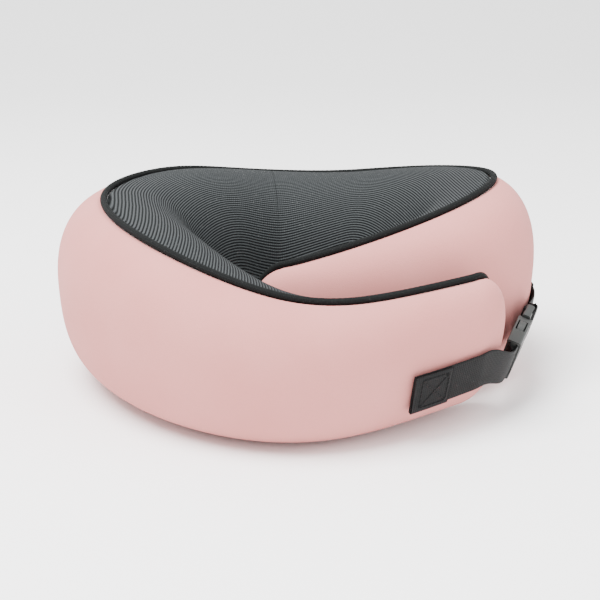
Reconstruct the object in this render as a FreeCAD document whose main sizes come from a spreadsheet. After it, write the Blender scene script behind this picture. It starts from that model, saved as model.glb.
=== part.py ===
"""U-shaped travel neck pillow, closed round the neck with its outer arm buckled to the side.

Frame: millimetres, +X to the wearer's left as seen from the front, +Y to the back of the neck,
+Z up. The origin is on the table under the middle of the pillow.

A moulded foam horseshoe in a jersey liner wears a cover of two panels: velour outside and
spacer mesh inside, with a corded piping in the upper seam and a zip in the lower one. The
soft pieces are cut at two planes, where the arms swing: back, outer arm and inner arm. Two
webbing straps and a side-release buckle tie the outer arm's tip to the side of the pillow.
"""
import FreeCAD
import Part
import math
import os
import Sketcher
from FreeCAD import Placement, Rotation, Vector

# Thirteen stations along the middle of the horseshoe, from the outer arm's tip (0) round the
# back (6) to the inner arm's tip (12): plan x and y, half thickness, underside, top, how far
# the top leans outwards, and the angle of the piped seam in the section (0 out, 90 up).
STATION_COLUMNS = ("plan_x", "plan_y", "half", "bottom", "top", "lean", "rim")
STATIONS = (
    (101, -79, 16, 10, 91, 10, 89),
    (35, -99, 26, 4, 85, 7, 87),
    (-27, -103, 34, 1, 88, 6, 86),
    (-85, -53, 42, 0, 112, 6, 75),
    (-104, 30, 46, 0, 117, 3, 79),
    (-63, 76, 46, 0, 118, 1, 73),
    (-7, 94, 45, 0, 111, 0, 65),
    (43, 75, 45, 0, 113, 1, 69),
    (90, 47, 44, 0, 121, 2, 68),
    (104, 3, 42, 0, 124, 4, 78),
    (75, -31, 34, 1, 113, 5, 88),
    (17, -36, 26, 3, 95, 7, 86),
    (-39, -36, 17, 10, 82, 9, 86),
)
# The prong's outline in the buckle's own length (x) and width (z).
PRONG = ((29.4, 7.4), (29.4, 10.8), (21.8, 10.8), (21.2, 14.3), (17.0, 14.5), (12.6, 10.6), (14.0, 7.6))

SIZES = {
    # how round the section is above and below its middle (1 is an ellipse)
    "power_up": 0.85,
    "power_down": 0.72,
    "seam_angle": 225,
    # the lower seam's two edges, and how they part for the zip, in degrees and stations
    "seam_part": 0.6,
    "zip_part": 18,
    "zip_part_middle": 6,
    "zip_part_reach": 1.4,
    # the rounded ends of the arms, in stations
    "outer_tip": 0.38,
    "inner_tip": 0.5,
    "tip_power": 2.3,
    "tip_turn": 60,
    # how far apart the sections are along the arms, in stations
    "section_step": 0.25,
    # where the arms swing, in stations, and the cut between the soft pieces there
    "outer_cut": 4.0,
    "inner_cut": 9.4,
    "cut_gap": 0.012,
    # layers, from the outside in
    "fabric": 1.5,
    "layer_gap": 0.6,
    "liner": 0.6,
    "piping_radius": 2.1,
    "piping_wall": 0.7,
    "piping_proud": 1.25,
    # webbing
    "web_width": 24,
    "web_thick": 1.5,
    "web_lift": 1.3,
    "stitch_side": 18,
    "stitch_width": 0.8,
    "stitch_height": 0.5,
    "stitch_sunk": 0.1,
    "strap_end_gap": 0.4,
    # the buckle: where its strap end is, which way it points, and its own sizes
    "buckle_x": 108.5,
    "buckle_y": -75,
    "buckle_z": 31.5,
    "buckle_yaw": 58,
    "buckle_pitch": 16,
    "buckle_roll": 19,
    "socket_rear": 0,
    "socket_long": 29,
    "socket_wide": 28,
    "socket_thick": 8.4,
    "cavity_start": 9,
    "cavity_wide": 23.6,
    "cavity_thick": 5.2,
    "window_start": 12.2,
    "window_end": 22.2,
    "window_thick": 5.6,
    "mouth_chamfer_long": 8,
    "mouth_chamfer_wide": 2.5,
    "bar_half": 1.6,
    "slot_start": 2.6,
    "slot_end": 5.6,
    "slot_wide": 25,
    "buckle_round": 1.4,
    "base_start": 29.5,
    "base_end": 41,
    "base_wide": 26,
    "base_thick": 5,
    "base_slot_start": 34.5,
    "base_slot_end": 38,
    "guide_start": 18,
    "guide_wide": 5,
    "guide_thick": 2,
    "prong_thick": 4.2,
    # the zip: a flat arc under the back of the neck hole, on a cone
    "zip_x": -10,
    "zip_y": 19,
    "zip_radius": 37.6,
    "zip_height": 12.1,
    "zip_tilt": 52,
    "zip_sweep": 100,
    "tape_wide": 9,
    "tape_thick": 0.6,
    "tape_gap": 1.6,
    "tape_clear": 0.1,
    "coil_wide": 2.2,
    "coil_thick": 1.6,
    "slider_wide": 8,
    "slider_blade": 0.9,
    "slider_post": 0.9,
    "slider_gap": 0.3,
    "slider_sweep": 9,
    "slider_start": 3,
    "stop_sweep": 2,
    "stop_top_start": 0.4,
    "pull_back": -2,
    "pull_long": 12,
    "pull_wide": 6,
    "pull_thick": 1,
    "pull_eye_back": -0.2,
    "pull_eye_long": 3.4,
    "pull_eye_wide": 3.2,
    "pull_lift": 1.6,
    "lug_back": -3.7,
    "lug_eye_back": -2.4,
    "lug_eye_front": 0.2,
    "lug_front": 1.5,
    "lug_foot": -1.76,
    "lug_thick": 1.4,
    "lug_top": 2.2,
    "lug_eye_top": 1.2,
    # the blank care label
    "label_long": 14,
    "label_high": 12,
    "label_thick": 0.5,
    "label_place": 5.15,
    "label_angle": 192,
    "label_lift": 1.6,
}

SIZES.update(
    cavity_end=SIZES["socket_long"] + 2,
    guide_end=SIZES["base_start"] + 1,
    coil_start=SIZES["slider_start"] + SIZES["slider_sweep"] + 0.5,
    stop_bottom_start=SIZES["zip_sweep"] - SIZES["stop_sweep"] - 0.6,
    pull_front=SIZES["pull_back"] + SIZES["pull_long"],
    pull_eye_front=SIZES["pull_eye_back"] + SIZES["pull_eye_long"],
    label_back=-SIZES["label_long"] / 2,
    label_front=SIZES["label_long"] / 2,
)
SIZES["coil_sweep"] = SIZES["stop_bottom_start"] - SIZES["coil_start"] - 0.4

# Where the sections of a rounded tip lie, as parts of the tip's length.
TIP_STEPS = (0.04, 0.13, 0.28, 0.5, 0.75, 1.0)
# Where each strap lies on the cover: its angle in the section, and stations along it.
OUTER_WEB_ANGLE = -11
OUTER_WEB_PLACES = (1.0, 0.82, 0.66, 0.52, 0.38, 0.26, 0.16)
INNER_WEB_ANGLE = -14
INNER_WEB_PLACES = (9.3, 9.2, 9.1, 9.0, 8.88, 8.75, 8.6)

doc = FreeCAD.newDocument("NeckPillow")
sheet = doc.addObject("Spreadsheet::Sheet", "Sizes")
sub_parts = []


def fill_sheet():
    """Every driving dimension gets a row: its name, its value and its alias."""
    rows = dict(SIZES)
    for number, station in enumerate(STATIONS):
        for column, value in zip(STATION_COLUMNS, station):
            rows[f"{column}_{number}"] = value
    for number, (along, across) in enumerate(PRONG):
        rows[f"prong_along_{number}"] = along
        rows[f"prong_across_{number}"] = across
    for row, (name, value) in enumerate(rows.items(), 1):
        sheet.set(f"A{row}", name)
        sheet.set(f"B{row}", str(value))
        sheet.setAlias(f"B{row}", name)
    doc.recompute()


def size(name):
    return float(sheet.get(name))


def add_shape(label, shape):
    """A lofted soft piece, worked out from the sheet."""
    feature = doc.addObject("Part::Feature", label)
    feature.Shape = shape
    feature.Label = label
    sub_parts.append(feature)
    return feature


# ---- the pillow's surface -------------------------------------------------------------


def spline(*columns):
    """A smooth curve through the stations; its parameter is the station number."""
    points = []
    for number in range(len(STATIONS)):
        values = [size(f"{column}_{number}") for column in columns]
        points.append(Vector(*(values + [0, 0, 0])[:3]))
    curve = Part.BSplineCurve()
    curve.interpolate(Points=points, Parameters=[float(n) for n in range(len(points))])
    return curve


def tip_factor(u):
    """1 along the arms, falling to 0 at both tips as a superellipse falls."""
    last = len(STATIONS) - 1
    depth = min(u / size("outer_tip"), (last - u) / size("inner_tip"), 1.0)
    power = size("tip_power")
    return max(1.0 - (1.0 - depth) ** power, 0.0) ** (1.0 / power), depth


def signed_power(value, power):
    return math.copysign(abs(value) ** power, value)


class Station:
    """The pillow's section at one place along it."""

    def __init__(self, u):
        place = PLAN.value(u)
        along = Vector(PLAN.tangent(u)[0])
        along.normalize()
        girth = GIRTH.value(u)
        levels = LEVELS.value(u)
        factor, depth = tip_factor(u)
        self.along = along
        self.out = Vector(-along.y, along.x, 0)
        self.half = girth.x * factor
        self.lean = girth.y * factor
        self.rim = girth.z + size("tip_turn") * (1.0 - depth) ** 2
        low = max(levels.x, 0.0)
        self.middle = Vector(place.x, place.y, (low + levels.y) / 2)
        self.rise = (levels.y - low) / 2 * factor

    def point(self, angle, inset=0.0):
        """The surface at an angle in the section (degrees), pushed in by inset."""
        turn = math.radians(angle)
        power = size("power_up") if math.sin(turn) > 0 else size("power_down")
        across = signed_power(math.cos(turn), power)
        up = signed_power(math.sin(turn), power)
        reach = (self.half - inset) * across + self.lean * up
        return self.middle + self.out * reach + Vector(0, 0, (self.rise - inset) * up)

    def angle_beside_rim(self, distance, side):
        """The angle, on one side of the piped seam, that is a distance away from it."""
        seam = self.point(self.rim)
        angle = self.rim
        while self.point(angle).distanceToPoint(seam) < distance:
            angle += 0.25 * side
        return angle


def places(start, end):
    """Section places from start to end: evenly along the arms, closer in the rounded tips."""
    last = len(STATIONS) - 1
    step = size("section_step")
    marks = [size("outer_tip") * part for part in TIP_STEPS]
    marks += [last - size("inner_tip") * part for part in TIP_STEPS]
    marks += [step * n for n in range(2, int(last / step) - 2)]
    kept = [
        u
        for u in marks
        if (start == 0 or u > start + step / 4) and (end == last or u < end - step / 4)
    ]
    return sorted(kept + [u for u in (start, end) if 0 < u < last])


def smooth_edge(points):
    curve = Part.BSplineCurve()
    curve.interpolate(Points=points)
    return curve.toShape()


def loft(wires):
    return Part.makeLoft(wires, True, True, False)


def core(start, end, inset):
    """A solid the shape of the pillow between two places, pushed in by inset."""
    wires = []
    for u in places(start, end):
        station = Station(u)
        points = [station.point(angle, inset) for angle in range(0, 360, 10)]
        curve = Part.BSplineCurve()
        curve.interpolate(Points=points, PeriodicFlag=True)
        wires.append(Part.Wire([curve.toShape()]))
    return loft(wires)


def skin(start, end, first_angle, last_angle, outside, inside):
    """A fabric panel that covers the section from one angle to another."""
    wires = []
    for u in places(start, end):
        station = Station(u)
        low, high = first_angle(station, u), last_angle(station, u)
        count = 30
        turns = [low + (high - low) * n / count for n in range(count + 1)]
        outer = [station.point(turn, outside) for turn in turns]
        inner = [station.point(turn, inside) for turn in turns]
        edges = [
            smooth_edge(outer),
            Part.makeLine(outer[-1], inner[-1]),
            smooth_edge(inner[::-1]),
            Part.makeLine(inner[0], outer[0]),
        ]
        wires.append(Part.Wire(edges))
    return loft(wires)


def tube(start, end, radius):
    """A round cord along the piped seam, standing a little proud of it."""
    wires = []
    for u in places(start, end):
        station = Station(u)
        seam = station.point(station.rim, size("fabric") / 2 - size("piping_proud"))
        across = station.out * radius
        up = Vector(0, 0, radius)
        wires.append(Part.Wire([Part.Circle(seam + across, seam + up, seam - across).toShape()]))
    return loft(wires)


def zip_opening(u):
    """How far the lower seam's edges part for the zip, in degrees."""
    away = abs(u - size("zip_part_middle")) / size("zip_part_reach")
    return size("zip_part") * max(0.0, 1.0 - away**4) + size("seam_part")


def make_soft_pieces():
    """Foam, liner, velour, mesh and piping for the back and both arms."""
    last = len(STATIONS) - 1
    gap = size("cut_gap")
    fabric = size("fabric")
    liner_at = fabric + size("layer_gap")
    foam_at = liner_at + size("liner") + size("layer_gap")
    seam = size("seam_angle")
    beside = size("piping_radius") + size("layer_gap")
    spans = {
        "outer_arm": (0, size("outer_cut") - gap),
        "back": (size("outer_cut") + gap, size("inner_cut") - gap),
        "inner_arm": (size("inner_cut") + gap, last),
    }
    for name, (start, end) in spans.items():
        add_shape(f"foam_{name}", core(start, end, foam_at))
        around = (lambda s, u: -89, lambda s, u: 269)
        add_shape(f"liner_{name}", skin(start, end, *around, liner_at, liner_at + size("liner")))
        add_shape(
            f"velour_{name}",
            skin(
                start,
                end,
                lambda s, u: seam - 360 + zip_opening(u),
                lambda s, u: s.angle_beside_rim(beside, -1),
                0.0,
                fabric,
            ),
        )
        add_shape(
            f"mesh_{name}",
            skin(
                start,
                end,
                lambda s, u: s.angle_beside_rim(beside, 1),
                lambda s, u: seam - zip_opening(u),
                0.0,
                fabric,
            ),
        )
        outer = tube(start, end, size("piping_radius"))
        bore = tube(start, end, size("piping_radius") - size("piping_wall"))
        add_shape(f"piping_{name}", outer.cut(bore))
        cord_radius = size("piping_radius") - size("piping_wall") - size("layer_gap")
        add_shape(f"piping_cord_{name}", tube(start, end, cord_radius))


# ---- webbing --------------------------------------------------------------------------


def buckle_axes():
    """The buckle's length, thickness (towards the pillow) and width, as unit vectors."""
    yaw, pitch, roll = (math.radians(size(f"buckle_{n}")) for n in ("yaw", "pitch", "roll"))
    length = Vector(
        math.cos(yaw) * math.cos(pitch), math.sin(yaw) * math.cos(pitch), math.sin(pitch)
    )
    side = Vector(math.sin(yaw), -math.cos(yaw), 0)
    upright = side.cross(length)
    width = upright * math.cos(roll) + side * math.sin(roll)
    return length, width.cross(length), width


def buckle_placement():
    start = Vector(size("buckle_x"), size("buckle_y"), size("buckle_z"))
    return Placement(start, Rotation(*buckle_axes(), "XZY"))


def web_frame(u, angle, lift):
    """Middle, width direction and outward direction of webbing that lies on the cover."""
    station = Station(u)
    width = station.point(angle + 4) - station.point(angle - 4)
    width.normalize()
    ahead = Station(u - 0.04).point(angle) - Station(u + 0.04).point(angle)
    outward = width.cross(ahead)
    outward.normalize()
    if outward.dot(station.out) < 0:
        outward = outward * -1
    return station.point(angle) + outward * lift, width, outward


def web_wire(middle, width, outward, wide, thick):
    """The webbing's cross-section, a flat rectangle."""
    across = width * (wide / 2)
    through = outward * (thick / 2)
    corners = [
        middle - across - through,
        middle + across - through,
        middle + across + through,
        middle - across + through,
    ]
    return Part.makePolygon(corners + corners[:1])


def web_ends():
    """The frames where each strap meets its half of the buckle."""
    place = buckle_placement()
    length, inward, width = buckle_axes()
    gap = size("strap_end_gap")
    socket_end = place.multVec(Vector(-gap, 0, 0))
    base_end = place.multVec(Vector(size("base_end") + gap, 0, 0))
    return (socket_end, width, inward * -1), (base_end, width, inward * -1)


def strap(frames):
    wide, thick = size("web_width"), size("web_thick")
    return Part.makeLoft([web_wire(*frame, wide, thick) for frame in frames], True, True, False)


def stitch_box(frame):
    """A square of raised stitching with its cross, on the sewn end of a strap."""
    middle, width, outward = frame
    along = width.cross(outward)
    half = size("stitch_side") / 2
    line = size("stitch_width")
    high = size("stitch_height")
    lift = size("web_thick") / 2 - size("stitch_sunk")
    base = Placement(middle + outward * lift, Rotation(along, width, outward, "ZXY"))
    bars = []
    for turn in (0, 90, 180, 270):
        corner = Vector(-half - line / 2, half - line / 2, 0)
        bar = Part.makeBox(2 * half + line, line, high, corner)
        bars.append(bar.rotate(Vector(), Vector(0, 0, 1), turn))
    for turn in (45, 135):
        reach = half * math.sqrt(2)
        bar = Part.makeBox(2 * reach, line, high, Vector(-reach, -line / 2, 0))
        bars.append(bar.rotate(Vector(), Vector(0, 0, 1), turn))
    box = bars[0].multiFuse(bars[1:]).removeSplitter()
    box.Placement = base
    return box


def make_straps():
    socket_end, base_end = web_ends()
    lift = size("web_thick") / 2 + size("web_lift")
    outer = [web_frame(u, OUTER_WEB_ANGLE, lift) for u in OUTER_WEB_PLACES]
    add_shape("outer_strap", strap(outer + [socket_end]))
    add_shape("outer_strap_stitching", stitch_box(outer[1]))
    inner = [web_frame(u, INNER_WEB_ANGLE, lift) for u in INNER_WEB_PLACES]
    add_shape("side_strap", strap([base_end] + inner))
    add_shape("side_strap_stitching", stitch_box(inner[-2]))


# ---- sketched pieces ------------------------------------------------------------------


def plane_of(body, role):
    return next(f for f in body.Origin.OriginFeatures if f.Role == role)


def new_body(label):
    body = doc.addObject("PartDesign::Body", label)
    body.Label = label
    sub_parts.append(body)
    return body


def outline(body, name, role, corners):
    """A closed outline of straight lines, each corner held by two expressions.

    A corner is a pair of (value, expression).
    """
    sketch = body.newObject("Sketcher::SketchObject", name)
    sketch.AttachmentSupport = [(plane_of(body, role), "")]
    sketch.MapMode = "FlatFace"
    points = [Vector(x[0], y[0], 0) for x, y in corners]
    count = len(points)
    for n in range(count):
        sketch.addGeometry(Part.LineSegment(points[n], points[(n + 1) % count]), False)
    for n in range(count):
        sketch.addConstraint(Sketcher.Constraint("Coincident", n, 2, (n + 1) % count, 1))
    for n, corner in enumerate(corners):
        for kind, (value, expression) in zip(("DistanceX", "DistanceY"), corner):
            index = sketch.addConstraint(Sketcher.Constraint(kind, -1, 1, n, 1, value))
            sketch.setExpression(f"Constraints[{index}]", expression)
    return sketch


def cell(name, factor=1.0):
    return size(name) * factor, f"Sizes.{name} * {factor}"


def slab(body, name, role, start, end, wide):
    """A rectangle from start to end along the first axis, wide about the second."""
    low, high = cell(wide, -0.5), cell(wide, 0.5)
    return outline(
        body,
        name,
        role,
        [(cell(start), low), (cell(end), low), (cell(end), high), (cell(start), high)],
    )


def pad(body, sketch, thick):
    feature = body.newObject("PartDesign::Pad", f"{sketch.Name}Pad")
    feature.Profile = sketch
    feature.Midplane = True
    feature.setExpression("Length", f"Sizes.{thick}")
    doc.recompute()
    return feature


def pocket(body, sketch, thick=None):
    """Cut a sketch out, to a thickness about its plane or right through; it must remove some."""
    before = body.Shape.Volume
    feature = body.newObject("PartDesign::Pocket", f"{sketch.Name}Pocket")
    feature.Profile = sketch
    feature.Midplane = True
    if thick:
        feature.setExpression("Length", f"Sizes.{thick}")
    else:
        feature.Length = 100
    doc.recompute()
    if body.Shape.Volume >= before - 0.01:
        raise RuntimeError(f"{feature.Name} cut nothing")
    return feature


def rounded(body, feature, edge_names, radius):
    """Round the named edges of the body's latest feature."""
    fillet = body.newObject("PartDesign::Fillet", f"{feature.Name}Round")
    fillet.Base = (feature, edge_names)
    fillet.setExpression("Radius", f"Sizes.{radius}")
    doc.recompute()
    return fillet


def long_edges(shape, length):
    """Names of the straight edges of about the given length."""
    names = []
    for number, edge in enumerate(shape.Edges, 1):
        if abs(edge.Length - length) < 0.01:
            names.append(f"Edge{number}")
    return names


def socket_outline(body):
    """The socket seen on its broad face: a rectangle whose mouth corners are cut off."""
    rear, front = cell("socket_rear"), cell("socket_long")
    cut_x = (
        size("socket_long") - size("mouth_chamfer_long"),
        "Sizes.socket_long - Sizes.mouth_chamfer_long",
    )
    corners = [(rear, cell("socket_wide", -0.5))]
    for sign in (-1, 1):
        cut_y = (
            sign * (size("socket_wide") / 2 - size("mouth_chamfer_wide")),
            f"{sign} * (Sizes.socket_wide / 2 - Sizes.mouth_chamfer_wide)",
        )
        side = [(cut_x, cell("socket_wide", sign / 2)), (front, cut_y)]
        corners += side[::-sign]
    corners.append((rear, cell("socket_wide", 0.5)))
    return outline(body, "SocketBlock", "XZ_Plane", corners)


def thin_bar(body):
    """The strap's bar is thinner than the block: both faces are cut back between the rails."""
    for name, sign in (("BarReliefOut", 1), ("BarReliefIn", -1)):
        face, clear = cell("bar_half", sign), cell("socket_thick", sign)
        rear, front = cell("slot_end", -1), cell("slot_start", 1.02)
        relief = outline(
            body, name, "XY_Plane", [(rear, face), (front, face), (front, clear), (rear, clear)]
        )
        pocket(body, relief, "slot_wide")


def make_socket():
    """The buckle's female half: a flat box with a mouth, two side windows and a strap slot."""
    body = new_body("buckle_socket")
    solid = pad(body, socket_outline(body), "socket_thick")
    side = size("socket_long") - size("mouth_chamfer_long")
    rounded(body, solid, long_edges(solid.Shape, side), "buckle_round")
    cavity = slab(body, "SocketCavity", "XZ_Plane", "cavity_start", "cavity_end", "cavity_wide")
    pocket(body, cavity, "cavity_thick")
    window = slab(body, "SocketWindow", "XY_Plane", "window_start", "window_end", "window_thick")
    pocket(body, window)
    pocket(body, slab(body, "SocketSlot", "XZ_Plane", "slot_start", "slot_end", "slot_wide"))
    thin_bar(body)
    body.Placement = buckle_placement()


def make_plug():
    """The buckle's male half: a base with a strap slot, and a guide tongue in the middle."""
    body = new_body("buckle_plug")
    block = slab(body, "PlugBlock", "XZ_Plane", "base_start", "base_end", "base_wide")
    solid = pad(body, block, "base_thick")
    base_long = size("base_end") - size("base_start")
    rounded(body, solid, long_edges(solid.Shape, base_long), "buckle_round")
    guide = slab(body, "PlugGuide", "XZ_Plane", "guide_start", "guide_end", "guide_wide")
    pad(body, guide, "guide_thick")
    pocket(body, slab(body, "PlugSlot", "XZ_Plane", "base_slot_start", "base_slot_end", "slot_wide"))
    body.Placement = buckle_placement()


def make_prong(label, turned):
    """One spring arm of the plug with its lug, which snaps into a side window."""
    body = new_body(label)
    corners = []
    for number in range(len(PRONG)):
        corners.append((cell(f"prong_along_{number}"), cell(f"prong_across_{number}")))
    pad(body, outline(body, f"{label}_outline", "XZ_Plane", corners), "prong_thick")
    body.Placement = buckle_placement() * Placement(Vector(), Rotation(Vector(1, 0, 0), turned))


# ---- the zip --------------------------------------------------------------------------


def zip_corner(along, through):
    """A corner of a zip piece's section, as (radius, height) pairs.

    along runs down and outwards on the zip's cone, through stands out of it.
    """
    tilt = math.radians(size("zip_tilt"))
    radius = size("zip_radius") + along * math.cos(tilt) - through * math.sin(tilt)
    height = size("zip_height") - along * math.sin(tilt) - through * math.cos(tilt)
    across, upright = "cos(Sizes.zip_tilt * 1 deg)", "sin(Sizes.zip_tilt * 1 deg)"
    radius_text = f"Sizes.zip_radius + {along} * {across} - {through} * {upright}"
    height_text = f"Sizes.zip_height - {along} * {upright} - {through} * {across}"
    return (radius, radius_text), (height, height_text)


def zip_arc(label, section, sweep, start=0.0):
    """A piece whose section is swept round the zip's arc, from start degrees on.

    sweep is the name of the size that says how far round it goes.
    """
    body = new_body(label)
    corners = [zip_corner(*corner) for corner in section]
    sketch = outline(body, f"{label}_section", "XZ_Plane", corners)
    turn = body.newObject("PartDesign::Revolution", f"{label}_turn")
    turn.Profile = sketch
    turn.ReferenceAxis = (sketch, ["V_Axis"])
    turn.setExpression("Angle", f"Sizes.{sweep} * 1 deg")
    doc.recompute()
    # the revolution may run either way round, so the body is turned to start where it should
    middle = body.Shape.CenterOfMass
    leads = math.degrees(math.atan2(middle.y, middle.x))
    wanted = 90 - size("zip_sweep") / 2 + start + size(sweep) / 2
    body.Placement = Placement(
        Vector(size("zip_x"), size("zip_y"), 0), Rotation(Vector(0, 0, 1), wanted - leads)
    )
    return body


def zip_slider_section():
    """An I-shaped section: two blades joined by the post that runs between the coils."""
    half = size("slider_wide") / 2
    inner = size("coil_thick") / 2 + size("slider_gap")
    outer = inner + size("slider_blade")
    post = size("slider_post") / 2
    return (
        (-half, -outer),
        (half, -outer),
        (half, -inner),
        (post, -inner),
        (post, inner),
        (half, inner),
        (half, outer),
        (-half, outer),
        (-half, inner),
        (-post, inner),
        (-post, -inner),
        (-half, -inner),
    )


def make_zip():
    gap, wide, thick = size("tape_gap") / 2, size("tape_wide"), size("tape_thick") / 2
    coil_wide, coil_thick = size("coil_wide"), size("coil_thick") / 2
    for label, sign in (("zip_tape_lower", 1), ("zip_tape_upper", -1)):
        near, far = sign * (gap + coil_wide + size("tape_clear")), sign * (gap + wide)
        zip_arc(label, ((near, -thick), (far, -thick), (far, thick), (near, thick)), "zip_sweep")
    for label, sign in (("zip_coil_lower", 1), ("zip_coil_upper", -1)):
        near, far = sign * gap, sign * (gap + coil_wide)
        section = ((near, -coil_thick), (far, -coil_thick), (far, coil_thick), (near, coil_thick))
        zip_arc(label, section, "coil_sweep", size("coil_start"))
    stop = (
        (-gap - coil_wide, -coil_thick),
        (gap + coil_wide, -coil_thick),
        (gap + coil_wide, coil_thick),
        (-gap - coil_wide, coil_thick),
    )
    zip_arc("zip_stop_top", stop, "stop_sweep", size("stop_top_start"))
    zip_arc("zip_stop_bottom", stop, "stop_sweep", size("stop_bottom_start"))
    make_slider()


def zip_frame(angle):
    """Place on the zip's cone: along the arc, down the cone, and out of it."""
    tilt = math.radians(size("zip_tilt"))
    turn = math.radians(90 - size("zip_sweep") / 2 + angle)
    radial = Vector(math.cos(turn), math.sin(turn), 0)
    along = Vector(-math.sin(turn), math.cos(turn), 0)
    down = radial * math.cos(tilt) - Vector(0, 0, math.sin(tilt))
    out = (radial * math.sin(tilt) + Vector(0, 0, math.cos(tilt))) * -1
    centre = Vector(size("zip_x"), size("zip_y"), 0) + radial * size("zip_radius")
    return centre + Vector(0, 0, size("zip_height")), along, down, out


def pull_placement():
    """The pull's hinge line crosses the slider's lug; x runs along the zip, z out of it."""
    place, along, down, out = zip_frame(size("slider_start") + size("slider_sweep") / 2)
    blade_top = size("coil_thick") / 2 + size("slider_gap") + size("slider_blade")
    return Placement(place + out * (blade_top + size("pull_lift")), Rotation(along, down, out, "ZXY"))


def make_slider():
    """The slider: two blades and a post, with the lug that holds the pull."""
    section = zip_slider_section()
    blades = zip_arc("zip_slider_blades", section, "slider_sweep", size("slider_start"))
    lug = new_body("zip_slider_lug")
    foot = cell("lug_foot")
    top, eye_top = cell("lug_top"), cell("lug_eye_top")
    back, front = cell("lug_back"), cell("lug_front")
    eye_back, eye_front = cell("lug_eye_back"), cell("lug_eye_front")
    arch = [
        (back, foot),
        (eye_back, foot),
        (eye_back, eye_top),
        (eye_front, eye_top),
        (eye_front, foot),
        (front, foot),
        (front, top),
        (back, top),
    ]
    pad(lug, outline(lug, "LugArch", "XZ_Plane", arch), "lug_thick")
    lug.Placement = pull_placement()
    slider = doc.addObject("Part::MultiFuse", "zip_slider")
    slider.Shapes = [blades, lug]
    slider.Label = "zip_slider"
    del sub_parts[-2:]
    sub_parts.append(slider)


def make_pull():
    """The tab on the slider, with the eye that its lug passes through."""
    body = new_body("zip_pull")
    pad(body, slab(body, "PullPlate", "XY_Plane", "pull_back", "pull_front", "pull_wide"), "pull_thick")
    pocket(body, slab(body, "PullEye", "XY_Plane", "pull_eye_back", "pull_eye_front", "pull_eye_wide"))
    body.Placement = pull_placement()


def make_label():
    """A blank woven care label, lying against the mesh by the zip."""
    body = new_body("care_label")
    plate = slab(body, "LabelPlate", "XY_Plane", "label_back", "label_front", "label_high")
    pad(body, plate, "label_thick")
    station = Station(size("label_place"))
    here = station.point(size("label_angle"))
    up = station.point(size("label_angle") - 5) - station.point(size("label_angle") + 5)
    up.normalize()
    out = up.cross(station.along)
    out.normalize()
    if out.dot(station.out) > 0:
        out = out * -1
    place = here + out * size("label_lift")
    body.Placement = Placement(place, Rotation(station.along, up, out, "ZXY"))


fill_sheet()
PLAN = spline("plan_x", "plan_y")
GIRTH = spline("half", "lean", "rim")
LEVELS = spline("bottom", "top")
make_soft_pieces()
make_straps()
make_socket()
make_plug()
make_prong("prong_upper", 0)
make_prong("prong_lower", 180)
make_zip()
make_pull()
make_label()
doc.recompute()

for part in sub_parts:
    state = [word for word in part.State if word in ("Invalid", "Error")]
    shape = part.Shape
    if state or shape.isNull() or not shape.isValid() or not shape.Solids:
        raise RuntimeError(f"{part.Label}: {part.State}")
    print(f"{part.Label:24s} {shape.Volume:12.1f} mm3, {len(shape.Solids)} solid")

os.makedirs("parts", exist_ok=True)
for part in sub_parts:
    part.Shape.exportStep(f"parts/{part.Label}.step")
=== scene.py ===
# %% [markdown]
# # A travel neck pillow, closed round the neck
#
# The real pillow is one moulded foam horseshoe. It wears a zipped cover of two panels, brushed
# velour outside and ribbed spacer mesh inside, with a black corded piping in the seam between
# them. Two straps and a side-release buckle hold the outer arm against the side.
#
# This lesson builds the looks of that pillow round a fixed frame, which holds every size and
# every joint. Nearly all the pieces are surfaces worked out as whole arrays, because a pillow
# is a section carried along a curve, and a formula keeps its panels, its piping and its straps
# on exactly the same skin.

# %% Load the frame
import math

import bmesh
import bpy
import numpy as np
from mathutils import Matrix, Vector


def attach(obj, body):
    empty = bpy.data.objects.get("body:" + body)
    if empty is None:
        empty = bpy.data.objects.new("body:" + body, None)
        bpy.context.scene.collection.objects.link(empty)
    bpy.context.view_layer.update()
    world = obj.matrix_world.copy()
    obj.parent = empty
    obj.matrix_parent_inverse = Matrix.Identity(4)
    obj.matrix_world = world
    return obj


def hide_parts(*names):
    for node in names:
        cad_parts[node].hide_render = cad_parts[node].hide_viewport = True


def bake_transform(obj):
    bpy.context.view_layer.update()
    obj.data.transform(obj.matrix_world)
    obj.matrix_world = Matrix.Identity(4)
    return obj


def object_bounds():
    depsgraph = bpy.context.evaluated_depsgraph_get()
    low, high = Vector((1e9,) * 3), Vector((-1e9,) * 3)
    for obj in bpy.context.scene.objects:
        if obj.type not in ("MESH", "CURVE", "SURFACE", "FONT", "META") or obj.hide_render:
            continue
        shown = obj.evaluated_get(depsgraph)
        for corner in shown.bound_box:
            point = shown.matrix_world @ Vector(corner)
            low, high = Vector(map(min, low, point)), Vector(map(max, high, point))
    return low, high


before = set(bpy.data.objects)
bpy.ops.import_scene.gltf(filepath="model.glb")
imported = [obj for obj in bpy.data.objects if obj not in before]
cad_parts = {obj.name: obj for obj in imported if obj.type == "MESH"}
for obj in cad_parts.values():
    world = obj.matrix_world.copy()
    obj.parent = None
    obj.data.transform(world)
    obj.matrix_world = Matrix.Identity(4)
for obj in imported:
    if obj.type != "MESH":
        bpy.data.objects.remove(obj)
cad_low, cad_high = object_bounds()

# %% [markdown]
# ## The pillow as a formula
#
# A sewn pillow could be sculpted, but then each panel would need its own sculpting and the
# seams would never quite meet. Here a patternmaker's few stations hold the plan, the thickness
# and the height round the horseshoe, and smooth curves run through them. The section is a
# superellipse that leans a little outwards at the top, and both arms end in a rounded tip.

# %% Stations round the horseshoe
MM = 0.001
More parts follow.
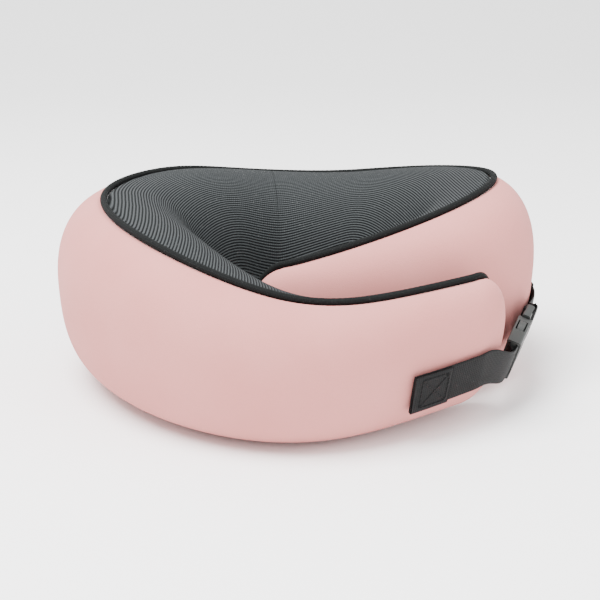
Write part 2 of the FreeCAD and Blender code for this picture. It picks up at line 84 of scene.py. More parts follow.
# From the outer arm's tip (0) round the back (6) to the inner arm's tip (12): plan x and y,
# half thickness, underside, top, outward lean, all in mm, and the angle of the piped seam.
STATIONS = np.array((
    (101, -79, 16, 10, 91, 10, 89),
    (35, -99, 26, 4, 85, 7, 87),
    (-27, -103, 34, 1, 88, 6, 86),
    (-85, -53, 42, 0, 112, 6, 75),
    (-104, 30, 46, 0, 117, 3, 79),
    (-63, 76, 46, 0, 118, 1, 73),
    (-7, 94, 45, 0, 111, 0, 65),
    (43, 75, 45, 0, 113, 1, 69),
    (90, 47, 44, 0, 121, 2, 68),
    (104, 3, 42, 0, 124, 4, 78),
    (75, -31, 34, 1, 113, 5, 88),
    (17, -36, 26, 3, 95, 7, 86),
    (-39, -36, 17, 10, 82, 9, 86),
), float)
LAST = len(STATIONS) - 1.0
BACK = 6.0
POWER_UP, POWER_DOWN = 0.85, 0.72
OUTER_TIP, INNER_TIP, TIP_POWER, TIP_TURN = 0.38, 0.5, 2.3, 60.0
SEAM_ANGLE = 225.0


def natural_spline(knots):
    """A curve of cubic pieces through the knots, one unit apart, with no bend at its ends.

    Returns a function of an array of places. On each piece the value is the straight line
    between its two knots plus, for each end, that end's bend times a cubic that is zero there.
    """
    count = len(knots)
    system = 4.0 * np.eye(count) + np.eye(count, k=1) + np.eye(count, k=-1)
    system[0], system[-1] = np.eye(count)[0], np.eye(count)[-1]
    pull = np.zeros_like(knots)
    pull[1:-1] = 6.0 * (knots[2:] - 2.0 * knots[1:-1] + knots[:-2])
    bend = np.linalg.solve(system, pull)

    def curve(u):
        piece = np.clip(np.floor(u).astype(int), 0, count - 2)
        t = (u - piece)[..., None]
        s = 1.0 - t
        line = s * knots[piece] + t * knots[piece + 1]
        return line + ((s**3 - s) * bend[piece] + (t**3 - t) * bend[piece + 1]) / 6.0

    return curve


stations_at = natural_spline(STATIONS)
print("plan half-way round:", stations_at(np.array([BACK]))[0, :2])


# %% The pillow's skin
def unit(vectors):
    return vectors / np.maximum(np.linalg.norm(vectors, axis=-1, keepdims=True), 1e-12)


def tip_depth(u):
    """1 along the arms, falling to 0 at the end of either rounded tip."""
    return np.clip(np.minimum(u / OUTER_TIP, (LAST - u) / INNER_TIP), 0.0, 1.0)


def rim_angle(u):
    """The piped seam's angle in the section; near a tip the seam turns to the inner side."""
    return stations_at(u)[..., 6] + TIP_TURN * (1.0 - tip_depth(u)) ** 2


def out_direction(u):
    """The level direction that points out of the horseshoe, square to its middle line."""
    step = 1e-4
    along = unit((stations_at(u + step) - stations_at(u - step))[..., :2])
    return np.stack((-along[..., 1], along[..., 0], 0.0 * u), -1)


def signed_power(value, power):
    return np.sign(value) * np.abs(value) ** power


def plain_skin(u, angle, inset=0.0):
    """A point of the pillow's surface, pushed inwards by inset (mm), in metres.

    In the section, the point is at half thickness times cosine and half height times sine,
    each raised to a power under one, which squares the ellipse a little. The top leans out.
    """
    u, angle, inset = np.broadcast_arrays(
        np.asarray(u, float), np.asarray(angle, float), np.asarray(inset, float)
    )
    row = stations_at(u)
    shrink = np.maximum(1.0 - (1.0 - tip_depth(u)) ** TIP_POWER, 0.0) ** (1.0 / TIP_POWER)
    low, top = np.maximum(row[..., 3], 0.0), row[..., 4]
    turn = np.radians(angle)
    power = np.where(np.sin(turn) > 0, POWER_UP, POWER_DOWN)
    across, up = signed_power(np.cos(turn), power), signed_power(np.sin(turn), power)
    reach = (row[..., 2] * shrink - inset) * across + row[..., 5] * shrink * up
    height = (low + top) / 2.0 + ((top - low) / 2.0 * shrink - inset) * up
    point = out_direction(u) * reach[..., None]
    point[..., :2] += row[..., :2]
    point[..., 2] += height
    return point * MM


print("top of the back:", plain_skin(BACK, 90.0))

# %% [markdown]
# ## Meshes from grids
#
# Every sewn piece is one of two things: a loop carried along a path, such as a panel with its
# thickness or a piping, or a flat patch. Both are a grid of points, so one helper turns a
# grid into a mesh. The loop closes on itself and its ends are closed with a strip or a fan, so
# each piece is a closed solid whose faces point outwards.


# %% Grid helpers
def make_object(name, points, faces, pattern=None, flat=0):
    """A smooth mesh object from an array of points and an array of faces.

    The last faces, as many as flat says, are flat end caps, so that no shade spreads from them.

    pattern is a pair of lengths (m) for each point, kept as the UV map 'pattern'.
    """
    mesh = bpy.data.meshes.new(name)
    mesh.from_pydata(points.reshape(-1, 3).tolist(), [], faces)
    mesh.validate()
    if pattern is not None:
        corner_point = np.empty(len(mesh.loops), int)
        mesh.loops.foreach_get("vertex_index", corner_point)
        layer = mesh.uv_layers.new(name="pattern")
        layer.data.foreach_set("uv", pattern.reshape(-1, 2)[corner_point].ravel())
    smooth = np.arange(len(mesh.polygons)) < len(mesh.polygons) - flat
    mesh.polygons.foreach_set("use_smooth", smooth)
    obj = bpy.data.objects.new(name, mesh)
    bpy.context.scene.collection.objects.link(obj)
    return obj


def grid_quads(rows, columns, round_rows=False, round_columns=False):
    """The four corners of each cell of a grid, whose rows or columns may close on themselves."""
    index = np.arange(rows * columns).reshape(rows, columns)
    if round_columns:
        index = np.hstack((index, index[:, :1]))
    if round_rows:
        index = np.vstack((index, index[:1]))
    corners = (index[:-1, :-1], index[:-1, 1:], index[1:, 1:], index[1:, :-1])
    return np.stack(corners, -1).reshape(-1, 4)


def face_outwards(obj):
    """Turns the whole piece the right way round: a closed solid's signed volume is positive."""
    mesh = obj.data
    mesh.calc_loop_triangles()
    points = np.empty(len(mesh.vertices) * 3)
    mesh.vertices.foreach_get("co", points)
    corners = np.empty(len(mesh.loop_triangles) * 3, int)
    mesh.loop_triangles.foreach_get("vertices", corners)
    a, b, c = points.reshape(-1, 3)[corners].reshape(-1, 3, 3).transpose(1, 0, 2)
    if np.einsum("ij,ij->", a, np.cross(b, c)) < 0:
        mesh.flip_normals()
    return obj


def carried_loop(name, loops, pattern=None):
    """A solid from a closed loop of points carried along a path: rows are places on the path."""
    rows, columns = loops.shape[:2]
    faces = grid_quads(rows, columns, round_columns=True).tolist()
    faces.append(list(range(columns)))
    faces.append([(rows - 1) * columns + n for n in reversed(range(columns))])
    return face_outwards(make_object(name, loops, faces, pattern, 2))


def shell(name, outer, inner, pattern=None):
    """A panel with a thickness: two grids joined along all four edges."""
    rows, columns = outer.shape[:2]
    loops = np.concatenate((outer, inner[:, ::-1]), 1)
    quads = grid_quads(rows, 2 * columns, round_columns=True)
    first = np.arange(columns - 1)
    cap = np.stack((first, first + 1, 2 * columns - 2 - first, 2 * columns - 1 - first), -1)
    faces = quads.tolist() + cap[:, ::-1].tolist() + (cap + (rows - 1) * 2 * columns).tolist()
    if pattern is not None:
        pattern = np.concatenate((pattern, pattern[:, ::-1]), 1)
    return face_outwards(make_object(name, loops, faces, pattern, 2 * len(cap)))


def tube_round(path, side, up, radius, around=16):
    """Circles round a path, each spanned by its side and up directions."""
    turn = np.linspace(0.0, 2.0 * np.pi, around, endpoint=False)
    ring = side[:, None] * np.cos(turn)[:, None] + up[:, None] * np.sin(turn)[:, None]
    return path[:, None] + ring * np.reshape(radius, (-1, 1, 1))


print("helpers ready")

# %% [markdown]
# ## Filling the cover
#
# A cover cut a little small is stretched over the foam. It is held along the piping and along
# the lower seam, and its free width swells between them. Blender's Cloth with a light pressure
# gives just that, so the whole skin is simulated once as one closed bag whose seam lines are
# pinned. The result is kept as a field of small moves on the same grid, and every panel, the
# piping and the straps read it, so they all stay together. The moves are capped, so that the
# pillow keeps its size.

# %% Cloth simulation of the cover
FIELD_ROWS, FIELD_TURNS = 193, 96
START_INSET = 0.8
MOVE_CAP = 0.0035
SIM_FRAMES = 20


def seam_hold(u, angle):
    """How firmly a point is held: 1 on the piping and the lower seam, fading over 6 degrees."""
    away = np.inf
    for line in (rim_angle(u), SEAM_ANGLE):
        apart = np.abs((angle - line + 180.0) % 360.0 - 180.0)
        away = np.minimum(away, apart)
    return np.clip(1.5 - away / 6.0, 0.0, 1.0)


def smoothed(field, passes):
    """Each value becomes the mean of itself and its neighbours along and round the pillow."""
    for _ in range(passes):
        ring = (np.roll(field, 1, 1) + np.roll(field, -1, 1) + 2.0 * field) / 4.0
        along = ring.copy()
        along[1:-1] = (ring[:-2] + ring[2:] + 2.0 * ring[1:-1]) / 4.0
        field = along
    return field


def cover_field():
    """The moves of the cover's grid from its smooth shape, after the cloth has swollen."""
    u = np.linspace(0.02, LAST - 0.02, FIELD_ROWS)[:, None]
    angle = np.linspace(0.0, 360.0, FIELD_TURNS, endpoint=False)[None]
    smooth_shape = plain_skin(u, angle)
    small = plain_skin(u, angle, START_INSET * tip_depth(u))
    bag = carried_loop("cover_bag", small)
    held = seam_hold(u, angle).ravel()
    group = bag.vertex_groups.new(name="held")
    for level in np.unique(np.round(held, 1)):
        if level > 0:
            group.add(np.flatnonzero(np.round(held, 1) == level).tolist(), float(level), "ADD")
    cloth = bag.modifiers.new("Cloth", "CLOTH")
    settings = cloth.settings
    settings.effector_weights.gravity = 0.0
    settings.use_pressure = True
    settings.uniform_pressure_force = 6.0
    settings.vertex_group_mass = "held"
    settings.tension_stiffness = settings.compression_stiffness = 15.0
    settings.bending_stiffness = 2.0
    settings.quality = 4
    scene = bpy.context.scene
    for number in range(1, SIM_FRAMES + 1):
        scene.frame_set(number)
    shaped = bag.evaluated_get(bpy.context.evaluated_depsgraph_get()).to_mesh()
    points = np.empty(len(shaped.vertices) * 3)
    shaped.vertices.foreach_get("co", points)
    scene.frame_set(1)
    bpy.data.objects.remove(bag)
    moved = points.reshape(smooth_shape.shape) - small
    length = np.linalg.norm(moved, axis=-1, keepdims=True)
    moved *= np.minimum(1.0, MOVE_CAP / np.maximum(length, 1e-9))
    return smoothed(moved + small - smooth_shape, 2)


FIELD = cover_field()
print("cover moves, mm:", np.linalg.norm(FIELD, axis=-1).max() / MM)


# %% The skin with the field
def field_at(u, angle):
    """The cover's move at any place, blended from the four grid points round it."""
    row = np.clip((u - 0.02) / (LAST - 0.04) * (FIELD_ROWS - 1), 0.0, FIELD_ROWS - 1.001)
    turn = (angle % 360.0) / 360.0 * FIELD_TURNS
    r, c = np.floor(row).astype(int), np.floor(turn).astype(int) % FIELD_TURNS
    fr, fc = (row - r)[..., None], (turn - np.floor(turn))[..., None]
    after = (c + 1) % FIELD_TURNS
    near = FIELD[r, c] * (1 - fc) + FIELD[r, after] * fc
    far = FIELD[r + 1, c] * (1 - fc) + FIELD[r + 1, after] * fc
    return near * (1 - fr) + far * fr


def skin(u, angle, inset=0.0):
    """The finished surface: the smooth one plus the cover's own moves."""
    u, angle = np.broadcast_arrays(np.asarray(u, float), np.asarray(angle, float))
    return plain_skin(u, angle, inset) + field_at(u, angle)


print("middle of the back:", skin(BACK, 180.0))

# %% [markdown]
# ## Finishes
#
# A finish is a node material. Weave, nap, ribs, grain and wear come back in several of them, so
# each is a node group with named inputs and outputs, built once. A group gives only heights,
# masks and tones; the shader itself stays in the material. Patterns that follow a piece, such
# as ribs and weave, read its own 'pattern' map, whose unit is a metre. All others read Object
# coordinates, because every piece keeps its place in its mesh.


# %% Node helpers
def put(tree, kind, values=None, **settings):
    """A node of a kind, with constants or other nodes' outputs on its inputs."""
    made = tree.nodes.new(kind)
    for name, value in settings.items():
        setattr(made, name, value)
    for name, value in (values or {}).items():
        if isinstance(value, bpy.types.NodeSocket):
            tree.links.new(value, made.inputs[name])
        else:
            made.inputs[name].default_value = value
    return made


def maths(tree, operation, first, second=0.0, clamp=False):
    return put(
        tree, "ShaderNodeMath", {0: first, 1: second}, operation=operation, use_clamp=clamp
    ).outputs[0]


def mixed(tree, factor, first, second):
    """A colour between two others."""
    made = put(tree, "ShaderNodeMix", {"Factor": factor}, data_type="RGBA")
    for socket, value in ((made.inputs[6], first), (made.inputs[7], second)):
        if isinstance(value, bpy.types.NodeSocket):
            tree.links.new(value, socket)
        else:
            socket.default_value = (*value, 1.0)
    return made.outputs[2]


def new_group(name, inputs, outputs):
    """An empty shader group; inputs and outputs map names to socket kinds and defaults."""
    tree = bpy.data.node_groups.new(name, "ShaderNodeTree")
    for label, (kind, default) in inputs.items():
        socket = tree.interface.new_socket(label, in_out="INPUT", socket_type=kind)
        if default is not None:
            socket.default_value = default
    for label in outputs:
        tree.interface.new_socket(label, in_out="OUTPUT", socket_type="NodeSocketFloat")
    return tree, tree.nodes.new("NodeGroupInput"), tree.nodes.new("NodeGroupOutput")


def use(tree, group, values):
    return put(tree, "ShaderNodeGroup", values, node_tree=group).outputs


FLOAT, VECTOR = "NodeSocketFloat", "NodeSocketVector"
print("node helpers ready")


# %% Shared effects
def scaled(tree, value, factor, plus):
    """A value times a factor, plus a constant."""
    return maths(tree, "ADD", maths(tree, "MULTIPLY", value, factor), plus)


def sine(tree, length, per_metre):
    """A sine wave from 0 to 1 along a length in metres."""
    turns = maths(tree, "MULTIPLY", length, per_metre)
    angle = maths(tree, "MULTIPLY", turns, 2.0 * math.pi)
    return scaled(tree, maths(tree, "SINE", angle), 0.5, 0.5)


def make_nap():
    """Brushed pile: fine fibre noise, and broad soft patches where the pile lies otherwise."""
    tree, given, gives = new_group(
        "nap", {"Vector": (VECTOR, None), "Fibre": (FLOAT, 2500.0)}, ("Height", "Patches")
    )
    fibre = put(
        tree,
        "ShaderNodeTexNoise",
        {"Vector": given.outputs["Vector"], "Scale": given.outputs["Fibre"], "Detail": 3.0},
    )
    patches = put(
        tree,
        "ShaderNodeTexNoise",
        {"Vector": given.outputs["Vector"], "Scale": 28.0, "Detail": 2.0, "Roughness": 0.4},
    )
    tree.links.new(fibre.outputs[0], gives.inputs["Height"])
    tree.links.new(patches.outputs[0], gives.inputs["Patches"])
    return tree


def make_ribs():
    """Ribbed knit: round ribs across the second length, and a faint grid along the first. The second
    output is painted shading: painted light on the rib crests, painted shade in the grooves between
    them and along the grid.
    """
    tree, given, gives = new_group(
        "ribs",
        {"Vector": (VECTOR, None), "Ribs": (FLOAT, 480.0), "Courses": (FLOAT, 770.0)},
        ("Height", "Light"),
    )
    sides = put(tree, "ShaderNodeSeparateXYZ", {0: given.outputs["Vector"]}).outputs
    wobble = put(
        tree, "ShaderNodeTexNoise", {"Vector": given.outputs["Vector"], "Scale": 60.0}
    ).outputs[0]
    across = maths(tree, "ADD", sides[1], maths(tree, "MULTIPLY", wobble, 0.0006))
    rib = sine(tree, across, given.outputs["Ribs"])
    course = sine(tree, sides[0], given.outputs["Courses"])
    height = maths(tree, "ADD", rib, maths(tree, "MULTIPLY", course, 0.35))
    # Painted shading: lighter where ribs and courses stand high, painted shade where they sink.
    light = maths(tree, "MULTIPLY", rib, scaled(tree, course, 0.35, 0.65))
    tree.links.new(height, gives.inputs["Height"])
    tree.links.new(light, gives.inputs["Light"])
    return tree


def make_weave():
    """Plain weave: warp and weft threads that take turns on top, as a chequer of two waves."""
    tree, given, gives = new_group(
        "weave",
        {"Vector": (VECTOR, None), "Warp": (FLOAT, 900.0), "Weft": (FLOAT, 500.0)},
        ("Height", "Thread"),
    )
    sides = put(tree, "ShaderNodeSeparateXYZ", {0: given.outputs["Vector"]}).outputs
    warp = sine(tree, sides[1], given.outputs["Warp"])
    weft = sine(tree, sides[0], given.outputs["Weft"])
    slant = maths(
        tree,
        "ADD",
        maths(tree, "MULTIPLY", sides[0], given.outputs["Weft"]),
        maths(tree, "MULTIPLY", sides[1], maths(tree, "MULTIPLY", given.outputs["Warp"], 0.5)),
    )
    over = sine(tree, slant, 1.0)
    height = maths(
        tree,
        "ADD",
        maths(tree, "MULTIPLY", warp, over),
        maths(tree, "MULTIPLY", weft, maths(tree, "SUBTRACT", 1.0, over)),
    )
    tree.links.new(height, gives.inputs["Height"])
    tree.links.new(over, gives.inputs["Thread"])
    return tree


def make_grain():
    """The fine spark-eroded grain of a mould, and the slow cloudiness of its plastic."""
    tree, given, gives = new_group(
        "grain", {"Vector": (VECTOR, None), "Scale": (FLOAT, 2200.0)}, ("Height", "Cloud")
    )
    pits = put(
        tree,
        "ShaderNodeTexVoronoi",
        {"Vector": given.outputs["Vector"], "Scale": given.outputs["Scale"]},
    )
    cloud = put(
        tree, "ShaderNodeTexNoise", {"Vector": given.outputs["Vector"], "Scale": 120.0}
    )
    tree.links.new(pits.outputs["Distance"], gives.inputs["Height"])
    tree.links.new(cloud.outputs[0], gives.inputs["Cloud"])
    return tree


def make_wear():
    """Where handling polishes an edge: the mesh's own pointiness, broken up by noise."""
    tree, given, gives = new_group(
        "edge wear", {"Vector": (VECTOR, None), "Amount": (FLOAT, 1.0)}, ("Wear",)
    )
    sharp = put(tree, "ShaderNodeNewGeometry").outputs["Pointiness"]
    edge = put(
        tree,
        "ShaderNodeMapRange",
        {"Value": sharp, "From Min": 0.52, "From Max": 0.62},
    ).outputs[0]
    broken = put(
        tree, "ShaderNodeTexNoise", {"Vector": given.outputs["Vector"], "Scale": 700.0}
    ).outputs[0]
    wear = maths(tree, "MULTIPLY", edge, maths(tree, "MULTIPLY", broken, given.outputs["Amount"]))
    tree.links.new(wear, gives.inputs["Wear"])
    return tree


def make_lint():
    """Stray pale fibres and dust that cling to dark cloth: the peaks of a fine noise."""
    tree, given, gives = new_group(
        "lint", {"Vector": (VECTOR, None), "Amount": (FLOAT, 1.0)}, ("Lint",)
    )
    specks = put(
        tree,
        "ShaderNodeTexNoise",
        {"Vector": given.outputs["Vector"], "Scale": 900.0, "Detail": 4.0},
    ).outputs[0]
    peaks = put(
        tree, "ShaderNodeMapRange", {"Value": specks, "From Min": 0.62, "From Max": 0.78}
    ).outputs[0]
    tree.links.new(maths(tree, "MULTIPLY", peaks, given.outputs["Amount"]), gives.inputs["Lint"])
    return tree


NAP, RIBS, WEAVE = make_nap(), make_ribs(), make_weave()
GRAIN, WEAR, LINT = make_grain(), make_wear(), make_lint()
print("groups:", [g.name for g in bpy.data.node_groups])


# %% Material helpers
def new_material(name, roughness, **sockets):
    """A material with its Principled shader; constants go straight on the shader's sockets."""
    material = bpy.data.materials.new(name)
    material.use_nodes = True
    tree = material.node_tree
    shader = next(n for n in tree.nodes if n.type == "BSDF_PRINCIPLED")
    shader.inputs["Roughness"].default_value = roughness
    for label, value in sockets.items():
        shader.inputs[label.replace("_", " ")].default_value = value
    return material, tree, shader


def own_place(tree):
    return put(tree, "ShaderNodeTexCoord").outputs["Object"]


def own_pattern(tree):
    return put(tree, "ShaderNodeUVMap", uv_map="pattern").outputs["UV"]


def raise_by(tree, shader, height, distance, strength=1.0):
    """Bump of a real height (m) on the shader."""
    bump = put(
        tree,
        "ShaderNodeBump",
        {"Height": height, "Distance": distance, "Strength": strength},
    )
    tree.links.new(bump.outputs[0], shader.inputs["Normal"])


def colour(tree, shader, value):
    tree.links.new(value, shader.inputs["Base Color"])


def make_velour():
    """Dusty pink brushed velour: matt, with a pale sheen where it turns away."""
    material, tree, shader = new_material(
        "velour", 0.95, Sheen_Weight=0.06, Sheen_Roughness=0.45, Specular_IOR_Level=0.08
    )
    shader.inputs["Sheen Tint"].default_value = (1.0, 0.93, 0.92, 1.0)
    nap = use(tree, NAP, {"Vector": own_place(tree), "Fibre": 1800.0})
    patched = mixed(tree, nap["Patches"], (0.495, 0.190, 0.174), (0.550, 0.235, 0.217))
    deep = maths(tree, "MULTIPLY", nap["Height"], 0.35)
    colour(tree, shader, mixed(tree, deep, patched, (0.425, 0.150, 0.135)))
    raise_by(tree, shader, nap["Height"], 0.00035, 0.6)
    return material


def make_ribbed_mesh():
    """Charcoal spacer mesh: painted light on the rib crests and painted shade in the dark grooves
    between them, with a faint grid across them.
    """
    material, tree, shader = new_material("ribbed_mesh", 0.9, Specular_IOR_Level=0.08)
    ribs = use(tree, RIBS, {"Vector": own_pattern(tree)})
    lint = use(tree, LINT, {"Vector": own_place(tree), "Amount": 0.25})
    # The ribs' shading output puts painted light on the crests and painted shade in the grooves into
    # the colour.
    ribbed = mixed(tree, ribs["Light"], (0.0015, 0.002, 0.0023), (0.058, 0.063, 0.065))
    colour(tree, shader, mixed(tree, lint["Lint"], ribbed, (0.20, 0.20, 0.195)))
    raise_by(tree, shader, ribs["Height"], 0.0004, 0.8)
    return material


def make_cloth(name, dark, light, warp, weft, roughness, depth, lint_amount, **sockets):
    """A woven or knitted cloth: a tone that follows the weave's height, painted light on the raised
    threads and painted shade in the hollows, with weave bump and a little lint.
    """
    material, tree, shader = new_material(name, roughness, **sockets)
    weave = use(tree, WEAVE, {"Vector": own_pattern(tree), "Warp": warp, "Weft": weft})
    lint = use(tree, LINT, {"Vector": own_place(tree), "Amount": lint_amount})
    # The weave's height picks the tone: painted shade in the hollows between threads, painted light on
    # their tops.
    threads = mixed(tree, weave["Height"], dark, light)
    colour(tree, shader, mixed(tree, lint["Lint"], threads, (0.16, 0.16, 0.155)))
    raise_by(tree, shader, weave["Height"], depth, 0.8)
    return material


def make_plastic(name, base, pale, roughness):
    """Moulded plastic: mould grain, a cloudy tone and edges that handling has polished."""
    material, tree, shader = new_material(name, roughness, Specular_IOR_Level=0.35)
    place = own_place(tree)
    grain = use(tree, GRAIN, {"Vector": place})
    wear = use(tree, WEAR, {"Vector": place, "Amount": 0.8})
    cloudy = mixed(tree, grain["Cloud"], base, pale)
    colour(tree, shader, mixed(tree, wear["Wear"], cloudy, tuple(3.0 * c for c in pale)))
    uneven = scaled(tree, grain["Cloud"], 0.12, roughness - 0.06)
    tree.links.new(uneven, shader.inputs["Roughness"])
    raise_by(tree, shader, grain["Height"], 0.00012, 0.5)
    return material


def make_metal():
    """Black lacquered zinc, with bright metal where the lacquer has worn off."""
    material, tree, shader = new_material("lacquered_zinc", 0.35, Coat_Roughness=0.2)
    place = own_place(tree)
    grain = use(tree, GRAIN, {"Vector": place, "Scale": 1500.0})
    wear = use(tree, WEAR, {"Vector": place, "Amount": 1.0})
    black = mixed(tree, grain["Cloud"], (0.02, 0.02, 0.022), (0.045, 0.045, 0.048))
    colour(tree, shader, mixed(tree, wear["Wear"], black, (0.55, 0.54, 0.52)))
    tree.links.new(wear["Wear"], shader.inputs["Metallic"])
    raise_by(tree, shader, grain["Height"], 0.00006, 0.4)
    return material


def make_foam():
    """Slow-recovery foam: cream, open-celled, faintly mottled."""
    material, tree, shader = new_material("foam", 0.9)
    grain = use(tree, GRAIN, {"Vector": own_place(tree), "Scale": 900.0})
    colour(tree, shader, mixed(tree, grain["Cloud"], (0.80, 0.72, 0.52), (0.88, 0.82, 0.65)))
    raise_by(tree, shader, grain["Height"], 0.0005, 0.6)
    return material


FINISHES = {
    "velour": make_velour(),
    "mesh": make_ribbed_mesh(),
    "liner": make_cloth("liner", (0.70, 0.70, 0.68), (0.85, 0.85, 0.84), 900, 900, 0.8, 0.0002, 0.0),
    "piping": make_cloth("piping", (0.0015, 0.002, 0.002), (0.009, 0.010, 0.010), 1400, 1100, 0.8,
                         0.00025, 0.15, Specular_IOR_Level=0.1),
    "cord": make_cloth("cord", (0.62, 0.60, 0.56), (0.80, 0.78, 0.74), 1200, 700, 0.8, 0.0003, 0.0),
    "webbing": make_cloth("webbing", (0.0010, 0.0010, 0.0011), (0.0040, 0.0040, 0.0043), 1400, 700, 0.6,
                          0.00015, 0.1, Specular_IOR_Level=0.12),
    "thread": make_cloth("thread", (0.002, 0.002, 0.0022), (0.008, 0.008, 0.0085), 2500, 1500, 0.6,
                         0.0001, 0.0, Specular_IOR_Level=0.15),
    "zip_tape": make_cloth("zip_tape", (0.004, 0.004, 0.0045), (0.014, 0.014, 0.015), 1600, 1300, 0.8,
                           0.00015, 0.15, Specular_IOR_Level=0.15),
    "label": make_cloth("label_satin", (0.72, 0.72, 0.70), (0.88, 0.88, 0.86), 3000, 1500, 0.45,
                        0.00006, 0.0, Sheen_Weight=0.2),
    "foam": make_foam(),
    "buckle": make_plastic("buckle_plastic", (0.014, 0.015, 0.014), (0.024, 0.026, 0.025), 0.5),
    "zip_coil": make_plastic("zip_nylon", (0.010, 0.010, 0.012), (0.022, 0.022, 0.024), 0.4),
    "zip_metal": make_metal(),
}


def finish_piece(obj, slot):
    """Gives a piece the finish kept under slot."""
    obj.data.materials.clear()
    obj.data.materials.append(FINISHES[slot])
    return obj


print("finishes:", sorted(FINISHES))

# %% [markdown]
# ## The cover's panels
#
# Each panel is a cloth of real thickness cut from the skin: a band from the piping to the lower
# seam. Near its edges it turns inwards, the way a sewn edge does, so a soft valley runs beside
# the piping and along the lower seam. The pillow opens at both arms, so each panel is made in
# two halves that meet at the middle of the back.

# %% Places along each half
TIP_ROWS, ARM_ROWS = 26, 150


def half_rows(side, tip_rows=TIP_ROWS, arm_rows=ARM_ROWS):
    """Places from a tip to the middle of the back, crowded together in the rounded tip."""
    tip = OUTER_TIP if side == "outer" else INNER_TIP
    in_tip = tip * np.linspace(0.0, 1.0, tip_rows) ** 2.4
    along = np.linspace(tip, BACK, arm_rows)[1:]
    depth = np.concatenate((in_tip, along))
    return depth if side == "outer" else LAST - depth


FABRIC = 1.5
PIPE_RADIUS = 2.1
PIPE_PROUD = 1.25
EDGE_BESIDE = 1.9
SEAM_PART, ZIP_PART, ZIP_REACH = 0.4, 18.0, 1.4


def beside_rim(u, distance, side):
    """The angle a distance (mm) from the piping's middle, on one side of it."""
    rim = rim_angle(u)
    speed = np.linalg.norm(plain_skin(u, rim + 1.0) - plain_skin(u, rim - 1.0), axis=-1) / 2.0
    return rim + side * np.minimum(distance * MM / np.maximum(speed, 1e-6), 40.0)


def seam_gap(u):
    """How far the lower seam's edges part (degrees): hardly at all, but wide at the zip."""
    away = np.abs(u - BACK) / ZIP_REACH
    return SEAM_PART + ZIP_PART * np.maximum(0.0, 1.0 - away**4)


def thinned(u, inset):
    """An inset that fades out where the rounded tip gets too thin for it."""
    shrink = np.maximum(1.0 - (1.0 - tip_depth(u)) ** TIP_POWER, 0.0) ** (1.0 / TIP_POWER)
    return inset * np.minimum(1.0, 2.0 * shrink)


def smoothstep(t):
    t = np.clip(t, 0.0, 1.0)
    return t * t * (3.0 - 2.0 * t)


def run_lengths(points, axis):
    """Distance travelled along a grid of points, along one of its two axes."""
    steps = np.linalg.norm(np.diff(points, axis=axis), axis=-1)
    pad = [(0, 0), (0, 0)]
    pad[axis] = (1, 0)
    return np.cumsum(np.pad(steps, pad), axis)


print("rows on the outer half:", len(half_rows("outer")))

# %% Cut a panel
PANEL_COLUMNS = 84
TUCK_RIM, TUCK_SEAM = (1.1, 3.0), (1.9, 4.0)


def panel(name, u, first, last, tucks):
    """A shell between two angles of the section, with both long edges tucked in.

    Columns are spaced by a cosine, closer at the edges. At each edge the cloth sinks by the
    tuck's depth over the tuck's width, both in mm, as a smooth step of the distance from it.
    """
    t = 0.5 - 0.5 * np.cos(np.linspace(0.0, np.pi, PANEL_COLUMNS))
    angle = first[:, None] * (1.0 - t) + last[:, None] * t
    flat = plain_skin(u[:, None], angle)
    across = run_lengths(flat, 1)
    width = across[:, -1:]
    sink = 0.0
    for (depth, wide), distance in zip(tucks, (across, width - across)):
        sink = sink + depth * (1.0 - smoothstep(distance / (wide * MM)))
    outer = skin(u[:, None], angle, thinned(u[:, None], sink))
    inner = skin(u[:, None], angle, thinned(u[:, None], sink + FABRIC))
    return outer, inner, across


RIB_X, RIB_Y, RIB_HALF, RIB_CORNER = 2.0, 49.0, 60.0, 30.0


def knit_pattern(points, side):
    """Where each point lay on the flat knit: (place along the ribs, place across them).

    The ribs run level along the back wall, turn a rounded corner and run forwards down both
    arms. So the place across them is the height plus the signed distance, in plan, from a
    rounded box that is open towards the front. Along them it is x less the way down the arm.
    """
    x, y, z = (points[..., n] / MM for n in range(3))
    wide = np.abs(x - RIB_X) - (RIB_HALF - RIB_CORNER)
    deep = y - (RIB_Y - RIB_CORNER)
    outside = np.hypot(np.maximum(wide, 0.0), np.maximum(deep, 0.0))
    box = np.minimum(np.maximum(wide, deep), 0.0) + outside - RIB_CORNER
    along = x + side * np.maximum(0.0, RIB_Y - y)
    return np.stack((along, z + box), -1) * MM


HALVES = {"outer": "outer_arm", "inner": "inner_arm"}


def bend_half(obj):
    """Bakes the half's placement into its own mesh."""
    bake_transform(obj)
    return obj


def soft_nodes(kind, half):
    return f"{kind}_{HALVES[half]}", f"{kind}_back"


for half in HALVES:
    u = half_rows(half)
    upper = beside_rim(u, EDGE_BESIDE, -1)
    lower = SEAM_ANGLE - 360.0 + seam_gap(u)
    outer, inner, across = panel("velour", u, upper, lower, (TUCK_RIM, TUCK_SEAM))
    along = run_lengths(outer, 0)
    velour = shell(f"velour_{half}_half", outer, inner, np.stack((along, across), -1))
    bend_half(finish_piece(velour, "velour"))
    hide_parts(*soft_nodes("velour", half))
    outer, inner, across = panel(
        "mesh", u, beside_rim(u, EDGE_BESIDE, 1), SEAM_ANGLE - seam_gap(u), (TUCK_RIM, TUCK_SEAM)
    )
    knit = knit_pattern(outer, -1.0 if half == "outer" else 1.0)
    mesh_panel = shell(f"mesh_{half}_half", outer, inner, knit)
    bend_half(finish_piece(mesh_panel, "mesh"))
    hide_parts(*soft_nodes("mesh", half))
    print(half, "velour panel, mm wide:", round(float(across.max() / MM)))

# %% [markdown]
# ## Foam and liner
#
# Inside lies the moulded foam in its jersey liner. Nobody sees them while the zip is shut, but
# they are what the pillow is, so they are made in the same two halves as the cover.

# %% Make the foam and its liner
CORE_COLUMNS = 64
LINER_AT, LINER_THICK, FOAM_AT = 2.1, 0.6, 3.3

